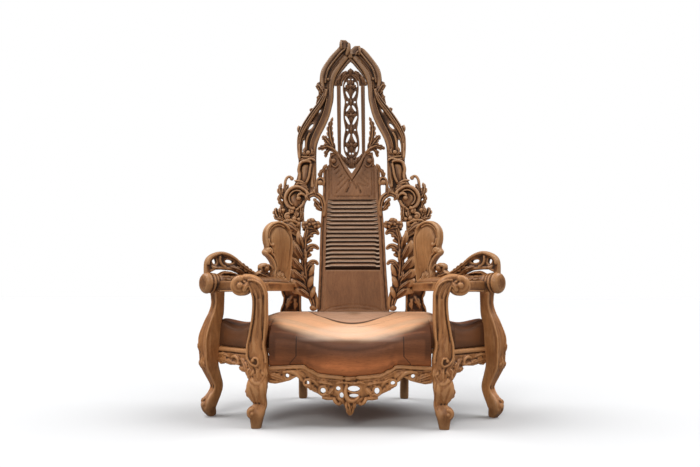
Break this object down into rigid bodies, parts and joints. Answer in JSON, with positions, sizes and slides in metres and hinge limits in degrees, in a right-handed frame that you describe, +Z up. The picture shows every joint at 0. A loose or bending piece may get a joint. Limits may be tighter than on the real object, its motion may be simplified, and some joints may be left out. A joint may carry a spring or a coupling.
{
  "type": "throne",
  "caption": "High-backed carved wooden throne with a saddled seat, scrolled open arms and a pierced pointed arch back, standing on curved legs.",
  "frame": {"origin": "middle of the footprint's bounding box, on the floor", "axes": "+Z up, -Y towards the front of the throne, +X to the right as seen from the front"},
  "size_m": [1.4834, 0.8698, 2.086],
  "materials": {
    "honey_teak": "satin, aged and oiled, carved",
    "shaded_teak": "satin, darker in the carving",
    "seat_teak": "polished by use along the front lip"
  },
  "bodies": {
    "root": {"seat": "seat_teak", "front_apron": "honey_teak", "left_wing_apron": "honey_teak", "right_wing_apron": "honey_teak", "left_side_rail": "honey_teak", "right_side_rail": "honey_teak", "rear_rail": "honey_teak", "left_front_leg": "honey_teak", "right_front_leg": "honey_teak", "left_outer_leg": "honey_teak", "right_outer_leg": "honey_teak", "left_arm": "honey_teak", "right_arm": "honey_teak", "left_back_wing": "honey_teak", "right_back_wing": "honey_teak", "left_rear_post": "shaded_teak", "right_rear_post": "shaded_teak", "left_arm_crest": "shaded_teak", "right_arm_crest": "shaded_teak", "left_arch_rail": "shaded_teak", "right_arch_rail": "shaded_teak", "left_splat_stile": "shaded_teak", "right_splat_stile": "shaded_teak", "splat_lower_panel": "shaded_teak", "splat_reeds": "shaded_teak", "splat_top_panel": "shaded_teak", "left_lancet_bar": "shaded_teak", "right_lancet_bar": "shaded_teak", "lancet_head": "shaded_teak", "medallion_strip": "shaded_teak", "left_leaf_spray": "shaded_teak", "right_leaf_spray": "shaded_teak", "left_plume": "shaded_teak", "right_plume": "shaded_teak", "left_bridge_leaf": "shaded_teak", "right_bridge_leaf": "shaded_teak"}
  },
  "joints": []
}
